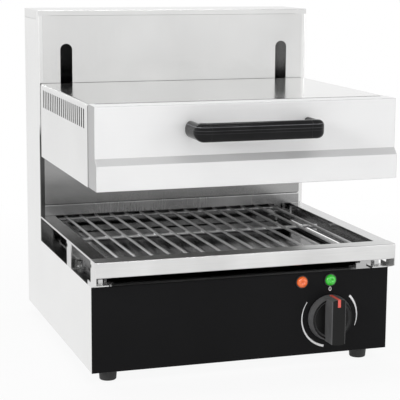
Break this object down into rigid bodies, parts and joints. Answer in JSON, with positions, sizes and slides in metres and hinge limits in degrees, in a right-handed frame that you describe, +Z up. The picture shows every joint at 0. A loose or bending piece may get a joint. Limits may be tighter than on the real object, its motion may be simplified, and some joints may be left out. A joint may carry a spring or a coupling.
{
  "type": "cheese melter",
  "caption": "Countertop electric cheese melter with a full-width column, a height-adjustable heated hood with bow handle, a wire grid over a drip tray and a black panel with knob and lamps.",
  "frame": {"origin": "middle of the bounding box in plan, on the table under the feet", "axes": "+X to the user's right, +Y to the back, +Z up; the control panel and handle face -Y"},
  "size_m": [0.45, 0.516, 0.507],
  "materials": {
    "stainless": "fine brushed",
    "stainless_front": "fine brushed",
    "stainless_bright": "bright rolled",
    "stainless_inner": "bright rolled",
    "rack_steel": "bright rolled",
    "bar_steel": "fine brushed",
    "tray_steel": "bright rolled",
    "galvanised": "zinc coated",
    "deck_steel": "bright rolled",
    "black_panel": "satin",
    "foot_rubber": "matte",
    "screw_steel": "bright",
    "chrome_wire": "bright",
    "guide_steel": "ground",
    "pulley_alloy": "turned",
    "cable_steel": "stranded",
    "cast_weight": "rough",
    "carriage_steel": "zinc coated",
    "bush_plastic": "matte",
    "sleeve_fabric": "braided",
    "grommet_rubber": "matte",
    "handle_plastic": "glossy",
    "reflector_steel": "bright rolled",
    "heater_sheath": "heat darkened",
    "support_steel": "bright rolled",
    "wool": "fibrous",
    "terminal_plastic": "matte",
    "knob_plastic": "satin",
    "pointer_red": "satin",
    "spindle_brass": "turned",
    "regulator_plastic": "matte",
    "print_white": "matte",
    "lens_orange": "glossy",
    "lens_green": "glossy",
    "holder_plastic": "matte",
    "gland_plastic": "matte"
  },
  "bodies": {
    "base": {"side_panel_left": "stainless", "side_panel_right": "stainless", "rear_cover": "stainless", "column_cover": "stainless", "column_front_panel": "stainless", "splash_strip": "stainless_bright", "recess_liner": "stainless_inner", "rack_rail_left": "rack_steel", "rack_rail_right": "rack_steel", "rack_bar": "bar_steel", "base_plate": "galvanised", "bottom_beam": "galvanised", "top_beam": "galvanised", "base_deck": "deck_steel", "tray_runners": "deck_steel", "front_panel": "black_panel", "feet": "foot_rubber", "foot_screws": "screw_steel", "cover_screws": "screw_steel", "frame_bolts": "screw_steel", "guide_rods": "guide_steel", "pulley_axles": "guide_steel", "cable_wraps": "cable_steel", "front_cables": "cable_steel", "rear_cables": "cable_steel", "harness_sleeve": "sleeve_fabric", "deck_grommet": "grommet_rubber", "terminal_block": "terminal_plastic", "energy_regulator": "regulator_plastic", "dial_marks": "print_white", "lamp_orange": "lens_orange", "lamp_green": "lens_green", "lamp_holders": "holder_plastic", "cable_gland": "gland_plastic"},
    "hood": {"hood_shell": "stainless", "hood_back": "stainless", "hood_front": "stainless", "fascia": "stainless_front", "handle": "handle_plastic", "handle_screws": "screw_steel", "reflector": "reflector_steel", "heating_element_rear": "heater_sheath", "heating_element_front": "heater_sheath", "element_supports": "support_steel", "insulation_pad": "wool", "hood_terminal": "terminal_plastic", "lift_arm_left": "carriage_steel", "lift_arm_right": "carriage_steel", "carriage": "carriage_steel", "guide_bushes": "bush_plastic"},
    "counterweight": {"counterweight": "cast_weight"},
    "pulley_left": {"pulley_left": "pulley_alloy"},
    "pulley_right": {"pulley_right": "pulley_alloy"},
    "knob": {"knob": "knob_plastic", "knob_pointer": "pointer_red", "knob_spindle": "spindle_brass"},
    "drip_tray": {"drip_tray": "tray_steel"},
    "wire_grid": {"wire_grid": "chrome_wire"}
  },
  "joints": [
    {"name": "hood_lift", "type": "slide", "parent": "base", "child": "hood", "axis": [0, 0, 1], "range_m": [-0.075, 0.06], "deforming": ["front_cables", "harness_sleeve"]},
    {"name": "counterweight_travel", "type": "slide", "parent": "base", "child": "counterweight", "axis": [0, 0, 1], "range_m": [-0.06, 0.075], "deforming": ["rear_cables"]},
    {"name": "pulley_left_spin", "type": "hinge", "parent": "base", "child": "pulley_left", "pos_m": [-0.06, 0.178, 0.468], "axis": [1, 0, 0], "range_deg": [-144, 180]},
    {"name": "pulley_right_spin", "type": "hinge", "parent": "base", "child": "pulley_right", "pos_m": [0.06, 0.178, 0.468], "axis": [1, 0, 0], "range_deg": [-144, 180]},
    {"name": "knob_turn", "type": "hinge", "parent": "base", "child": "knob", "pos_m": [0.1325, -0.1945, 0.073], "axis": [0, 1, 0], "range_deg": [0, 305]},
    {"name": "drip_tray_slide", "type": "slide", "parent": "base", "child": "drip_tray", "axis": [0, -1, 0], "range_m": [0, 0.36]},
    {"name": "wire_grid_slide", "type": "slide", "parent": "base", "child": "wire_grid", "axis": [0, -1, 0], "range_m": [0, 0.034]}
  ],
  "couplings": [
    {"joint": "counterweight_travel", "follows": "hood_lift", "ratio": -1},
    {"joint": "pulley_left_spin", "follows": "hood_lift", "rad_per_m": -41.667},
    {"joint": "pulley_right_spin", "follows": "hood_lift", "rad_per_m": -41.667}
  ]
}
